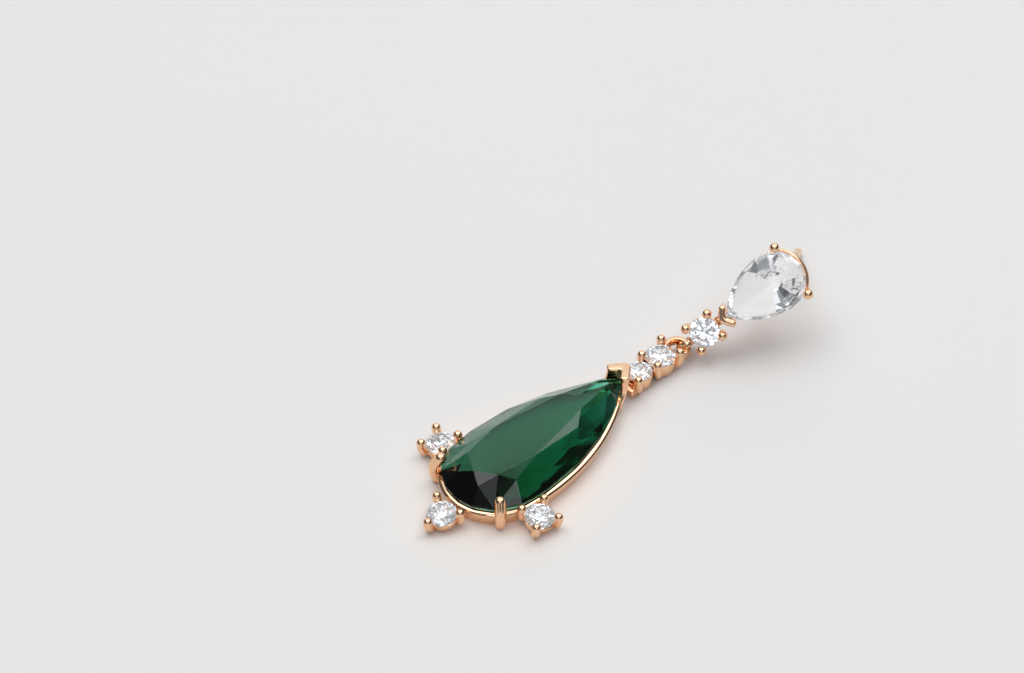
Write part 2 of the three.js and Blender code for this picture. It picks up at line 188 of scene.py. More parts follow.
def greenFinish():
    finish = Finish("green_stone")
    clouds = finish.clouds(greenLook["cloudScale"])
    surface = finish.node(
        "BsdfPrincipled",
        {},
        {
            "Base Color": finish.blend(clouds, greenLook["edge"], greenLook["body"]),
            "Roughness": greenLook["roughness"] + greenLook["unevenness"] * clouds,
            "IOR": greenLook["bend"],
            "Transmission Weight": 1.0,
        },
    )
    depth = finish.node(
        "VolumeAbsorption", {}, {"Color": greenLook["absorbed"], "Density": greenLook["density"]}
    )
    return finish.show(surface, depth)


# Painted light: the silvered backs glow, so that they don't go black where they mirror nothing bright
foilLook = {
    "first": (0.96, 0.965, 0.975),
    "second": (0.9, 0.9, 0.915),
    "cloudScale": 1.5,
    "roughness": 0.03,
    "unevenness": 0.04,
    "roundGlow": 0.12,
    "edgeGlow": 0.3,
    "shoulderGlow": 0.01,
}


def foilFinish(name, glow):
    # The silvered back that such stones have under their cut underside
    finish = Finish(name)
    clouds = finish.clouds(foilLook["cloudScale"])
    colour = finish.blend(clouds, foilLook["first"], foilLook["second"])
    surface = finish.node(
        "BsdfPrincipled",
        {},
        {
            "Base Color": colour,
            "Metallic": 1.0,
            "Roughness": foilLook["roughness"] + foilLook["unevenness"] * clouds,
            # painted light: the foil glows in its own colour
            "Emission Color": colour,
            "Emission Strength": glow,
        },
    )
    return finish.show(surface)


pearlLook = {
    "first": (0.97, 0.96, 0.945),
    "second": (0.93, 0.915, 0.90),
    "cloudScale": 0.6,
    "roughness": 0.3,
    "unevenness": 0.1,
    "glow": 0.37,
}


def pearlFinish():
    # A pale back that shows through the flat middle of the clear pear; it glows with painted light
    finish = Finish("stone_back_painted_light")
    clouds = finish.clouds(pearlLook["cloudScale"])
    colour = finish.blend(clouds, pearlLook["first"], pearlLook["second"])
    surface = finish.node(
        "BsdfPrincipled",
        {},
        {
            "Base Color": colour,
            "Roughness": pearlLook["roughness"] + pearlLook["unevenness"] * clouds,
            # painted light: the back glows in its own colour
            "Emission Color": colour,
            "Emission Strength": pearlLook["glow"],
        },
    )
    return finish.show(surface)


clearLook = {
    "first": (0.97, 0.975, 0.99),
    "second": (1.0, 0.99, 0.98),
    "cloudScale": 0.8,
    "roughness": 0.002,
    "unevenness": 0.008,
    "roundBend": 2.0,
    "pearBend": 1.65,
}


def clearFinish(name, bend):
    finish = Finish(name)
    clouds = finish.clouds(clearLook["cloudScale"])
    surface = finish.node(
        "BsdfPrincipled",
        {},
        {
            "Base Color": finish.blend(clouds, clearLook["first"], clearLook["second"]),
            "Roughness": clearLook["roughness"] + clearLook["unevenness"] * clouds,
            "IOR": bend,
            "Transmission Weight": 1.0,
        },
    )
    return finish.show(surface)


floorLook = {
    "first": (0.82, 0.785, 0.76),
    "second": (0.835, 0.80, 0.775),
    "cloudScale": 0.02,
    "roughness": 0.5,
    "unevenness": 0.05,
    # painted light: colour, place, size and glow of a warm pool round the earring
    "paintedLightColour": (0.95, 0.78, 0.66),
    "paintedLightPlace": (1.5, -15, 0),
    "paintedLightSize": (14, 20, 20),
    "paintedLightGlow": 0.13,
}


def floorFinish():
    finish = Finish("studio_floor")
    clouds = finish.clouds(floorLook["cloudScale"])
    plain = finish.blend(clouds, floorLook["first"], floorLook["second"])
    # Painted light: a warm pool painted into the floor's colour and glow round the earring, for the faint
    # warm light the metal throws, and it lightens the shadow there
    sizes = tuple(1 / size for size in floorLook["paintedLightSize"])
    offset = tuple(-spot / size for spot, size in zip(floorLook["paintedLightPlace"], floorLook["paintedLightSize"]))
    around = finish.node("Mapping", {}, {"Vector": finish.millimetres(), "Location": offset, "Scale": sizes})
    glow = finish.node("TexGradient", {"gradient_type": "QUADRATIC_SPHERE"}, {"Vector": around}, 1)
    # The painted warm light: base colour and emission are both warmed inside the pool
    surface = finish.node(
        "BsdfPrincipled",
        {},
        {
            "Base Color": finish.blend(glow, plain, floorLook["paintedLightColour"]),
            "Roughness": floorLook["roughness"] + floorLook["unevenness"] * clouds,
            "Emission Color": finish.blend(glow, (0, 0, 0), floorLook["paintedLightColour"]),
            "Emission Strength": floorLook["paintedLightGlow"],
        },
    )
    return finish.show(surface)


gold = goldFinish()
green = greenFinish()
clear = clearFinish("clear_stone", clearLook["roundBend"])
clearGlass = clearFinish("clear_glass", clearLook["pearBend"])
foil = foilFinish("stone_foil_painted_light", foilLook["roundGlow"])
edgeFoilPaintedLight = foilFinish("edge_foil_painted_light", foilLook["edgeGlow"])
shoulderFoilPaintedShade = foilFinish("shoulder_foil_painted_shade", foilLook["shoulderGlow"])
pearl = pearlFinish()
print("materials made")


# Modelling helpers, all in millimetres until finishPiece sets the piece in its place
def clearSelection():
    for thing in list(bpy.context.selected_objects):
        thing.select_set(False)


def ringStack(name, rings, joined=False):
    # A circle is laid on the first ring, and extruded to each next ring in turn
    clearSelection()
    fill = "NOTHING" if joined else "NGON"
    bpy.ops.mesh.primitive_circle_add(vertices=len(rings[0]), radius=1, fill_type=fill)
    piece = bpy.context.active_object
    piece.name = name
    bpy.ops.object.mode_set(mode="EDIT")
    shape = bmesh.from_edit_mesh(piece.data)
    order = shape.verts.layers.int.new("order")
    for number, vertex in enumerate(shape.verts):
        vertex[order] = number
        vertex.co = rings[0][number]
    bmesh.update_edit_mesh(piece.data)
    bpy.ops.mesh.select_all(action="SELECT")
    for ring in rings[1:]:
        bpy.ops.mesh.extrude_region_move()
        shape = bmesh.from_edit_mesh(piece.data)
        order = shape.verts.layers.int["order"]
        for vertex in shape.verts:
            if vertex.select:
                vertex.co = ring[vertex[order]]
        bmesh.update_edit_mesh(piece.data)
    if joined:
        bpy.ops.mesh.select_non_manifold()
        bpy.ops.mesh.bridge_edge_loops()
    bpy.ops.mesh.select_all(action="SELECT")
    bpy.ops.mesh.normals_make_consistent(inside=False)
    bpy.ops.object.mode_set(mode="OBJECT")
    piece.data.attributes.remove(piece.data.attributes["order"])
    return piece


spinSeam = 0.0005  # points closer than this are merged where a spin meets itself


def spunPiece(name, profile, steps):
    # A closed loop of radius and height, spun a whole turn round the upright axis
    clearSelection()
    bpy.ops.mesh.primitive_circle_add(vertices=len(profile), radius=1)
    piece = bpy.context.active_object
    piece.name = name
    for vertex, (radius, high) in zip(piece.data.vertices, profile):
        vertex.co = (radius, 0, high)
    bpy.ops.object.mode_set(mode="EDIT")
    bpy.ops.mesh.select_all(action="SELECT")
    bpy.ops.mesh.spin(steps=steps, angle=2 * math.pi, center=(0, 0, 0), axis=(0, 0, 1))
    bpy.ops.mesh.select_all(action="SELECT")
    bpy.ops.mesh.remove_doubles(threshold=spinSeam)
    bpy.ops.mesh.normals_make_consistent(inside=False)
    bpy.ops.object.mode_set(mode="OBJECT")
    return piece


def roundEdges(piece, width, segments=3, angle=35):
    clearSelection()
    piece.select_set(True)
    bpy.context.view_layer.objects.active = piece
    bevel = piece.modifiers.new("bevel", "BEVEL")
    bevel.width = width
    bevel.segments = segments
    bevel.limit_method = "ANGLE"
    bevel.angle_limit = math.radians(angle)
    bpy.ops.object.modifier_apply(modifier="bevel")
    return piece


def smoothPath(points, steps):
    # Points along a smooth curve through the given ones
    points = [Vector(point) for point in points]
    ends = [2 * points[0] - points[1], *points, 2 * points[-1] - points[-2]]
    path = []
    for before, start, end, after in zip(ends, ends[1:], ends[2:], ends[3:]):
        for step in range(steps):
            t = step / steps
            path.append(
                0.5
                * (
                    2 * start
                    + (end - before) * t
                    + (2 * before - 5 * start + 4 * end - after) * t**2
                    + (3 * start - before - 3 * end + after) * t**3
                )
            )
    return [*path, points[-1]]


rodValues = {
    "straight": 1e-6,
    "domeStart": 6, "domeTurn": 84, "domeSteps": 5,
    "ballTurn": 84, "ballSteps": 11, "ballGap": 0.02,
}


def rodRings(path, radii, sides, startDome, endDome, ballRadius=None):
    # Rings round a path that lies in one plane, with domes at its ends or a ball on its end
    values = rodValues
    flat = (path[-1] - path[0]).cross(path[len(path) // 2] - path[0])
    if flat.length < values["straight"]:
        flat = (path[-1] - path[0]).orthogonal()
    flat.normalize()
    rings = []

    def ringAt(centre, along, radius):
        up = along.cross(flat).normalized()
        return [
            centre + radius * (math.cos(turn) * flat + math.sin(turn) * up)
            for turn in (2 * math.pi * side / sides for side in range(sides))
        ]

    def alongAt(number):
        low, high = max(number - 1, 0), min(number + 1, len(path) - 1)
        return (path[high] - path[low]).normalized()

    if startDome:
        for step in range(values["domeSteps"]):
            lean = math.radians(values["domeStart"] + values["domeTurn"] * step / values["domeSteps"])
            centre = path[0] - alongAt(0) * radii[0] * math.cos(lean)
            rings.append(ringAt(centre, alongAt(0), radii[0] * math.sin(lean)))
    last = len(path) - 1
    ball = ballRadius or radii[-1]
    neck = math.acos(min(1, radii[-1] / ball))
    for number, centre in enumerate(path):
        fromEnd = (path[last] - centre).length
        clearOfBall = ballRadius is None or fromEnd > ball * math.sin(neck) + values["ballGap"]
        if number < last and clearOfBall:
            rings.append(ringAt(centre, alongAt(number), radii[number]))
    if endDome:
        for step in range(values["ballSteps"] + 1):
            lean = -neck + (math.radians(values["ballTurn"]) + neck) * step / values["ballSteps"]
            centre = path[last] + alongAt(last) * ball * math.sin(lean)
            rings.append(ringAt(centre, alongAt(last), ball * math.cos(lean)))
    else:
        rings.append(ringAt(path[last], alongAt(last), radii[last]))
    return rings


def joinPieces(name, pieces):
    clearSelection()
    for piece in pieces:
        piece.select_set(True)
    bpy.context.view_layer.objects.active = pieces[0]
    if len(pieces) > 1:
        bpy.ops.object.join()
    pieces[0].name = name
    return pieces[0]


def finishPiece(piece, place, material, smoothAngle=32):
    clearSelection()
    piece.select_set(True)
    bpy.context.view_layer.objects.active = piece
    piece.matrix_world = place @ piece.matrix_world
    bpy.ops.object.transform_apply(location=True, rotation=True, scale=True)
    if smoothAngle:
        bpy.ops.object.shade_smooth_by_angle(angle=math.radians(smoothAngle))
    piece.data.materials.clear()
    piece.data.materials.append(material)
    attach(piece, "root")
    return piece


def turned(piece, matrix):
    piece.data.transform(matrix)
    return piece


# The outline of a pear, grown outward, as points that run round it from the tip
greenPear = {"sideRadius": 23.6, "sideAcross": 18.3, "sideAlong": 14.9, "endRadius": 5.15, "endAlong": 17.25}
clearPear = {"sideRadius": 7.2, "sideAcross": 4.2, "sideAlong": 5.85, "endRadius": 3.0, "endAlong": 5.85}


def pearOutline(pear, grow, sideSteps=30, endSteps=44):
    side = pear["sideRadius"] + grow
    end = pear["endRadius"] + grow
    turn = math.atan2(pear["endAlong"] - pear["sideAlong"], pear["sideAcross"])
    start = -math.acos(pear["sideAcross"] / side)
    half = []
    for step in range(sideSteps):
        angle = start + (turn - start) * step / sideSteps
        across = side * math.cos(angle) - pear["sideAcross"]
        half.append((across, pear["sideAlong"] + side * math.sin(angle)))
    for step in range(endSteps + 1):
        angle = turn + (math.pi - 2 * turn) * step / endSteps
        half.append((end * math.cos(angle), pear["endAlong"] + end * math.sin(angle)))
    mirrored = [(-across, along) for across, along in half[1:sideSteps]]
    return half + mirrored[::-1]


# Bezel of the green stone: wall, rounded rim and a narrow seat inside
bezelValues = {
    "section": [  # out from the stone, height
        (-0.6, 0.02), (-0.55, 0.0), (-0.2, 0.0), (-0.1, 0.05), (-0.02, 0.3), (0.12, 0.75), (0.22, 1.12),
        (0.27, 1.35), (0.27, 1.44), (0.21, 1.53), (0.1, 1.6), (-0.06, 1.66), (-0.18, 1.68), (-0.26, 1.64),
        (-0.3, 1.5), (-0.42, 1.35), (-0.6, 1.2),
    ],
    "prongAcross": 4.02, "prongAlong": 20.49, "prongRadius": 0.57, "prongStand": 0.6,
    "prongPath": [(-0.22, 0.6), (-0.05, 1.2), (0.02, 2.1)],  # out from where it stands, height
    "prongTop": (0.02, 3.16), "prongSides": 28,
}


def makeBezel():
    rings = [
        [(across, along, high) for across, along in pearOutline(greenPear, out)]
        for out, high in bezelValues["section"]
    ]
    wall = ringStack("bezel", rings, joined=True)
    return finishPiece(wall, dropPlace, gold, 28)


def makeBezelProng(side):
    centre = Vector((0, greenPear["endAlong"], 0))
    tip = Vector((side * bezelValues["prongAcross"], bezelValues["prongAlong"], 0))
    out = (tip - centre).normalized()
    stand = greenPear["endRadius"] + bezelValues["prongStand"]
    reach = (tip - centre).length
    topOut, topHigh = bezelValues["prongTop"]

    def at(distance, high):
        return centre + out * distance + Vector((0, 0, high))

    points = [at(stand + away, high) for away, high in bezelValues["prongPath"]]
    path = smoothPath([*points, at(reach + topOut, topHigh)], 8)
    radii = [bezelValues["prongRadius"]] * len(path)
    rings = rodRings(path, radii, bezelValues["prongSides"], True, True)
    name = "bezel_prong_right" if side > 0 else "bezel_prong_left"
    return finishPiece(ringStack(name, rings), dropPlace, gold, 60)


# A chevron over a pear's tip, as a lip and the wall below it. Their rows are outer corner, width, arm, height
capValues = {
    "halfAngle": 39.2,
    "lip": [(-1.18, 0.92, 2.46, 3.05), (-1.18, 0.92, 2.46, 3.76)],
    "wall": [
        (-0.3, 0.4, 2.75, 0.5), (-0.42, 0.46, 2.7, 1.1), (-0.64, 0.52, 2.6, 1.6), (-0.9, 0.58, 2.5, 2.05),
        (-1.03, 0.7, 2.42, 2.5), (-1.08, 0.8, 2.36, 3.3),
    ],
    "front": 0.75, "lipCorner": 0.34, "lipEdge": 0.22, "wallCorner": 0.16, "wallEdge": 0.06,
}
clawValues = {
    "halfAngle": 54.3,
    "lip": [(-0.88, 0.72, 1.66, 0.2), (-0.88, 0.72, 1.66, 0.9)],
    "wall": [(-0.8, 0.55, 1.5, -1.5), (-0.82, 0.58, 1.55, 0.4)],
    "front": 0.4, "lipCorner": 0.32, "lipEdge": 0.3, "wallCorner": 0.14, "wallEdge": 0.05,
}


def chevronOutline(corner, halfAngle, arm, width):
    lean = math.radians(halfAngle)
    outerEnd = (math.sin(lean) * arm, math.cos(lean) * arm + corner)
    innerEnd = (outerEnd[0] - math.cos(lean) * width, outerEnd[1] + math.sin(lean) * width)
    innerCorner = corner + width / math.sin(lean)
    return [
        (0, corner), outerEnd, innerEnd,
        (0, innerCorner), (-innerEnd[0], innerEnd[1]), (-outerEnd[0], outerEnd[1]),
    ]


bevelValues = {"frontDepth": 0.5, "uprightOver": 0.05, "sharpOver": 0.6, "cornerSteps": 7, "edgeSteps": 5}


def chevronBlock(name, values, part):
    # Levels go from the lowest to the highest
    rings = [
        [(x, y, high) for x, y in chevronOutline(corner, values["halfAngle"], arm, width)]
        for corner, width, arm, high in values[part]
    ]
    block = ringStack(name, rings)
    clearSelection()
    block.select_set(True)
    bpy.context.view_layer.objects.active = block
    bpy.ops.object.mode_set(mode="EDIT")
    bpy.ops.mesh.select_mode(type="EDGE")
    front = min(y for x, y, high in rings[-1]) + bevelValues["frontDepth"]
    for offset, infront in ((values["front"], True), (values[part + "Corner"], False)):
        bpy.ops.mesh.select_all(action="DESELECT")
        shape = bmesh.from_edit_mesh(block.data)
        for edge in shape.edges:
            first, second = (vertex.co for vertex in edge.verts)
            upright = abs(first.z - second.z) > bevelValues["uprightOver"] and len(edge.link_faces) == 2
            corner = upright and edge.calc_face_angle() > bevelValues["sharpOver"]
            edge.select_set(corner and (max(first.y, second.y) < front) == infront)
        bmesh.update_edit_mesh(block.data)
        bpy.ops.mesh.bevel(offset=offset, segments=bevelValues["cornerSteps"])
    bpy.ops.mesh.select_mode(type="VERT")
    bpy.ops.object.mode_set(mode="OBJECT")
    return roundEdges(block, values[part + "Edge"], bevelValues["edgeSteps"])


def makeCap():
    blocks = [chevronBlock("cap_" + part, capValues, part) for part in ("lip", "wall")]
    return finishPiece(joinPieces("tip_cap", blocks), dropPlace, gold, 40)


# Round settings: cup with a bulging wall, ribs and ball tips
settingValues = {
    "ballRadius": 0.46, "prongSides": 24, "cupSides": 56,
    "ribRadii": [0.37, 0.46, 0.44, 0.4],  # of a prong, from its foot to its ball
    "footIn": 0.36, "footRise": 0.38, "kneeIn": 0.12, "kneeDepth": 0.45, "shinOut": 0.02, "shinHigh": -0.05,
    "cup": [  # share of the stone's radius, added radius, share of the cup's depth, added height
        (0, 0.5, 1, 0), (1, -0.32, 1, 0), (1, -0.22, 1, 0.05), (1, -0.12, 1, 0.2),
        (1, -0.03, 0.6, 0), (1, 0.02, 0.35, 0), (1, 0.03, 0, -0.2), (1, 0.02, 0, -0.11),
        (1, -0.03, 0, -0.08), (1, -0.12, 0, -0.11), (1, -0.17, 0, -0.28), (0.6, 0, 0.72, 0),
    ],
}


def cupProfile(stoneRadius, depth):
    return [
        (share * stoneRadius + wider, high - deep * depth)
        for share, wider, deep, high in settingValues["cup"]
    ]


def settingProng(x, y, ballHigh, depth):
    values = settingValues
    reach = math.hypot(x, y)

    def at(distance, high):
        return Vector((x * distance / reach, y * distance / reach, high))

    points = [
        at(reach - values["footIn"], values["footRise"] - depth),
        at(reach - values["kneeIn"], -values["kneeDepth"] * depth),
        at(reach + values["shinOut"], values["shinHigh"]),
        at(reach, ballHigh),
    ]
    steps = 7
    path = smoothPath(points, steps)
    widths = values["ribRadii"]
    radii = []
    for number in range(len(path)):
        first = widths[number // steps]
        second = widths[min(len(widths) - 1, number // steps + 1)]
        radii.append(first + (second - first) * (number % steps) / steps)
    rings = rodRings(path, radii, values["prongSides"], True, True, values["ballRadius"])
    return ringStack("prong", rings)


def makeSetting(name, stoneRadius, prongPlaces, ballHigh, depth, seat, place):
    parts = [spunPiece(name, cupProfile(stoneRadius, depth), settingValues["cupSides"])]
    parts += [settingProng(x, y, ballHigh, depth) for x, y in prongPlaces]
    setting = turned(joinPieces(name, parts), seat)
    return finishPiece(setting, place, gold, 40)


def seatMatrix(x, y, z, azimuth=0, tilt=0):
    return (
        Matrix.Translation((x, y, z))
        @ Matrix.Rotation(math.radians(azimuth), 4, "Z")
        @ Matrix.Rotation(math.radians(tilt), 4, "Y")
    )


def prongRing(angles, reach):
    turns = [math.radians(angle) for angle in angles]
    return [(reach * math.cos(turn), reach * math.sin(turn)) for turn in turns]


def bothSides(across, along):
    return [(across, along), (-across, along)]


smallRadius = 1.5
linkRadius = 1.3
seats = {  # across, along, high, azimuth, tilt
    "left": seatMatrix(-6.78, 17.91, 1.39, 169, 9.9),
    "right": seatMatrix(6.78, 17.91, 1.39, 11, 9.9),
    "bottom": seatMatrix(0, 24.25, 1.34, 90, 9),
    "inner": seatMatrix(0, -2.25, 1.64),
    "outer": seatMatrix(0, -5.12, 1.69),
    "upper": seatMatrix(0, -2.65, 0),
}
quarter = (45, 135, 225, 315)
third = (0, 120, 240)

settings = [  # name, stone's radius, places of the prongs, height of the balls, depth, seat
    ("setting_right", smallRadius, prongRing(quarter, 1.8), 0.45, 1.18, "right"),
    ("setting_left", smallRadius, prongRing(quarter, 1.8), 0.45, 1.18, "left"),
    ("setting_bottom", smallRadius, prongRing(third, 1.84), 0.45, 1.15, "bottom"),
    ("setting_inner", linkRadius, bothSides(1.15, 1.3), 0.4, 1.64, "inner"),
    ("setting_outer", smallRadius, bothSides(1.29, -1.37) + bothSides(1.08, 1.47), 0.4, 1.69, "outer"),
    ("setting_upper", smallRadius, bothSides(1.31, -1.27) + bothSides(1.31, 1.27), 0.36, 1.5, "upper"),
]


# Low bars between the cups
barValues = [  # name, size, its middle along and high, half of the earring
    ("bar_tip", (2.1, 1.7, 0.75), (-1.05, 0.4), "drop"),
    ("bar_line", (1.0, 1.7, 0.7), (-3.7, 0.5), "drop"),
    ("bar_bottom", (0.9, 1.5, 0.6), (22.75, 0.5), "drop"),
    ("bar_claw", (0.9, 2.3, 0.7), (-0.6, -1.2), "upper"),
    ("bar_eye", (0.6, 0.8, 0.7), (-3.65, -1.2), "upper"),
]


barEdge = 0.14


def makeBar(name, size, spot, half):
    clearSelection()
    along, high = spot
    bpy.ops.mesh.primitive_cube_add(size=1, location=(0, along, high), scale=size)
    bar = bpy.context.active_object
    bar.name = name
    bpy.ops.object.transform_apply(location=True, rotation=True, scale=True)
    roundEdges(bar, barEdge)
    return finishPiece(bar, dropPlace if half == "drop" else upperPlace, gold, 40)


# Flat band ring of the drop and the upright eye behind the upper cup
ringValues = {
    "along": -7.4, "high": 1.05, "inner": 0.86, "outer": 1.34, "half": 0.44, "edge": 0.12, "upright": False,
}
eyeValues = {
    "along": -4.9, "high": -1.28, "inner": 0.6, "outer": 1.18, "half": 0.38, "edge": 0.14, "upright": True,
}
bandSides = 64
bandCorner = 0.3  # how far the middle of a rounded corner lies in, as a share of it


def bandProfile(values):
    inner, outer, half, edge = values["inner"], values["outer"], values["half"], values["edge"]
    soft = edge * bandCorner
    return [
        (inner, -half + edge), (inner + soft, -half + soft), (inner + edge, -half),
        (outer - edge, -half), (outer - soft, -half + soft), (outer, -half + edge),
        (outer, half - edge), (outer - soft, half - soft), (outer - edge, half),
        (inner + edge, half), (inner + soft, half - soft), (inner, half - edge),
    ]


def makeBand(name, values, place):
    band = spunPiece(name, bandProfile(values), bandSides)
    if values["upright"]:
        turned(band, Matrix.Rotation(math.pi / 2, 4, "Y"))
    turned(band, Matrix.Translation((0, values["along"], values["high"])))
    return finishPiece(band, place, gold, 50)


# Cup of the clear pear, with two ball prongs, the rim between them and the chevron prong
cupValues = {
    "wallTop": -0.3, "tipDepth": 2.3, "endDepth": 3.1, "sideSteps": 20, "endSteps": 36,
    "outside": [  # out from the stone, share of the depth
        (-0.8, 1.0), (-0.6, 0.995), (-0.42, 0.95), (-0.26, 0.8),
        (-0.16, 0.6), (-0.1, 0.35), (-0.06, 0.08), (-0.05, 0.0),
    ],
    "inside": [(-0.1, -0.27), (-0.36, -0.27), (-0.42, -0.33), (-1.5, -2.12)],  # out from the stone, height
}
ballValues = {
    "across": 2.76, "along": 7.82, "high": 0.75, "radius": 0.5, "shaft": 0.37, "foot": (2.75, -1.6),
    "path": [(-0.1, -0.6), (0.03, 0.1)],  # out from the ball's middle, height
    "rimRadius": 3.04, "rimHigh": -0.3, "rimWire": 0.21, "rimSteps": 30,
}


def makePearCup():
    values = cupValues
    length = clearPear["endAlong"] + clearPear["endRadius"]

    def back(along):
        return -(values["tipDepth"] + (values["endDepth"] - values["tipDepth"]) * along / length)

    def outline(out):
        return pearOutline(clearPear, out, values["sideSteps"], values["endSteps"])

    top = values["wallTop"]
    rings = [
        [(x, y, top + (back(y) - top) * share) for x, y in outline(out)]
        for out, share in values["outside"]
    ]
    rings += [[(x, y, high) for x, y in outline(out)] for out, high in values["inside"]]
    return finishPiece(ringStack("pear_cup", rings), upperPlace, gold, 40)


def makeBallProngs():
    values = ballValues
    centre = clearPear["endAlong"]
    lean = math.atan2(values["along"] - centre, values["across"])
    reach = math.hypot(values["across"], values["along"] - centre)
    parts = []
    for angle in (lean, math.pi - lean):

        def at(distance, high):
            return Vector((distance * math.cos(angle), centre + distance * math.sin(angle), high))

        points = [at(reach + away, high) for away, high in values["path"]]
        path = smoothPath([at(*values["foot"]), *points, at(reach, values["high"])], 7)
        rings = rodRings(path, [values["shaft"]] * len(path), 24, True, True, values["radius"])
        parts.append(ringStack("ball_prong", rings))
    steps, rimRadius = values["rimSteps"], values["rimRadius"]
    rim = [
        Vector((rimRadius * math.cos(turn), centre + rimRadius * math.sin(turn), values["rimHigh"]))
        for turn in (lean + (math.pi - 2 * lean) * step / steps for step in range(steps + 1))
    ]
    parts.append(ringStack("rim", rodRings(rim, [values["rimWire"]] * len(rim), 16, False, False)))
    return finishPiece(joinPieces("ball_prongs", parts), upperPlace, gold, 60)


def makeClaw():
    blocks = [chevronBlock("claw_" + part, clawValues, part) for part in ("lip", "wall")]
    return finishPiece(joinPieces("claw", blocks), upperPlace, gold, 40)


# The ear post with two friction grooves
postValues = {
    "along": 7.14, "start": -2.7, "end": -13.84, "radius": 0.39, "sides": 32,
    "profile": [  # share of the length, share of the radius
        (0.0, 1), (0.685, 1), (0.695, 0.93), (0.705, 0.79), (0.715, 0.79), (0.725, 0.93), (0.735, 1),
        (0.835, 1), (0.845, 0.93), (0.855, 0.79), (0.865, 0.79), (0.875, 0.93), (0.885, 1),
        (0.97, 1.06), (0.985, 1.04), (0.996, 0.9), (1.0, 0.74),
    ],
}


def makePost():
    values = postValues
    length = values["start"] - values["end"]
    rings = [
        [
            (
                values["radius"] * width * math.cos(turn),
                values["along"] + values["radius"] * width * math.sin(turn),
                values["start"] - share * length,
            )
            for turn in (2 * math.pi * side / values["sides"] for side in range(values["sides"]))
        ]
        for share, width in values["profile"]
    ]
    return finishPiece(ringStack("ear_post", rings), upperPlace, gold, 35)


bezel = makeBezel()
goldPieces = [bezel, makeBezelProng(1), makeBezelProng(-1), makeCap()]
goldPieces.append(makeBand("drop_ring", ringValues, dropPlace))
for name, stoneRadius, prongPlaces, ballHigh, depth, seat in settings:
    place = upperPlace if seat == "upper" else dropPlace
    goldPieces.append(makeSetting(name, stoneRadius, prongPlaces, ballHigh, depth, seats[seat], place))
for values in barValues:
    goldPieces.append(makeBar(*values))
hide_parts("drop_frame")
pearCup = makePearCup()
goldPieces += [pearCup, makeBallProngs(), makeClaw()]
goldPieces += [makeBand("upper_eye", eyeValues, upperPlace), makePost()]
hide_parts("upper_frame")
print("gold pieces made:", len(goldPieces))


# Round brilliant, cut from a rough cylinder by flat cuts, for a radius of one
brilliantValues = {
    "girdle": 0.03, "table": 0.33, "tableRadius": 0.58, "starAngle": 21, "halfAngle": 41.95,
    "pavilionAngle": 40.0, "lowerHalfAngle": 41.25, "roughSides": 80, "cutSeam": 0.00001, "foilBelow": -0.2,
}
facetTurn = 45  # degrees from one of the eight main facets to the next


def cutFlat(normal, distance):
    bpy.ops.mesh.select_all(action="SELECT")
    bpy.ops.mesh.bisect(
        plane_co=tuple(normal * distance), plane_no=tuple(normal),
        use_fill=True, clear_outer=True, threshold=brilliantValues["cutSeam"],
    )


def facetNormal(azimuth, lean, side=1):
    turn, angle = math.radians(azimuth), math.radians(lean)
    out = math.sin(angle)
    return Vector((out * math.cos(turn), out * math.sin(turn), side * math.cos(angle)))


def makeBrilliant(name, size):
    values = brilliantValues
    clearSelection()
    bpy.ops.mesh.primitive_cylinder_add(vertices=values["roughSides"], radius=size, depth=2 * size)
    stone = bpy.context.active_object
    stone.name = name
    bpy.ops.object.mode_set(mode="EDIT")
    girdle, table, tableRadius = values["girdle"] * size, values["table"] * size, values["tableRadius"] * size
    mainAngle = math.degrees(math.atan2(table - girdle, size - tableRadius))
    half = size * math.cos(math.radians(facetTurn / 4))
    edge = tableRadius * math.cos(math.radians(facetTurn / 2))
    cuts = []  # azimuth, lean, how far out and how high the facet passes, side
    for number in range(360 // facetTurn):
        azimuth = facetTurn * number
        cuts.append((azimuth, mainAngle, size, girdle, 1))
        cuts.append((azimuth, values["pavilionAngle"], size, girdle, -1))
        for offset in (-facetTurn / 4, facetTurn / 4):
            cuts.append((azimuth + offset, values["halfAngle"], half, girdle, 1))
            cuts.append((azimuth + offset, values["lowerHalfAngle"], half, girdle, -1))
        cuts.append((azimuth + facetTurn / 2, values["starAngle"], edge, table, 1))
    for azimuth, lean, reach, high, side in cuts:
        angle = math.radians(lean)
        cutFlat(facetNormal(azimuth, lean, side), reach * math.sin(angle) + high * math.cos(angle))
    cutFlat(Vector((0, 0, 1)), table)
    bpy.ops.mesh.select_all(action="SELECT")
    bpy.ops.mesh.normals_make_consistent(inside=False)
    bpy.ops.object.mode_set(mode="OBJECT")
    return stone


roundStones = [  # name, node, radius, seat, half of the earring, turn in its seat
    ("round_1", "round_stone_1", smallRadius, "upper", upperPlace, 10),
    ("round_2", "round_stone_2", smallRadius, "outer", dropPlace, 4),
    ("round_3", "round_stone_3", linkRadius, "inner", dropPlace, 17),
    ("round_4", "round_stone_4", smallRadius, "right", dropPlace, 8),
    ("round_5", "round_stone_5", smallRadius, "left", dropPlace, 20),
    ("round_6", "round_stone_6", smallRadius, "bottom", dropPlace, 0),
]
for name, node, radius, seat, place, turn in roundStones:
    stone = makeBrilliant(name, radius)
    turned(stone, seats[seat] @ Matrix.Rotation(math.radians(turn), 4, "Z"))
    finishPiece(stone, place, clear, None)
    # The lower facets get the silvered back, which glows with painted light
    stone.data.materials.append(foil)
    upright = (place @ seats[seat]).to_3x3().inverted()
    for face in stone.data.polygons:
        facing = upright @ face.normal
        face.material_index = int(facing.z < brilliantValues["foilBelow"] * facing.length)
    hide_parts(node)
print("round stones cut")

# The middle star points of the green stone sit a little higher than on the solid, as their pale facets show
greenStar = {"low": 3.6, "high": 3.83, "start": 7, "end": 11, "within": 0.02}
pearSeam = 0.005


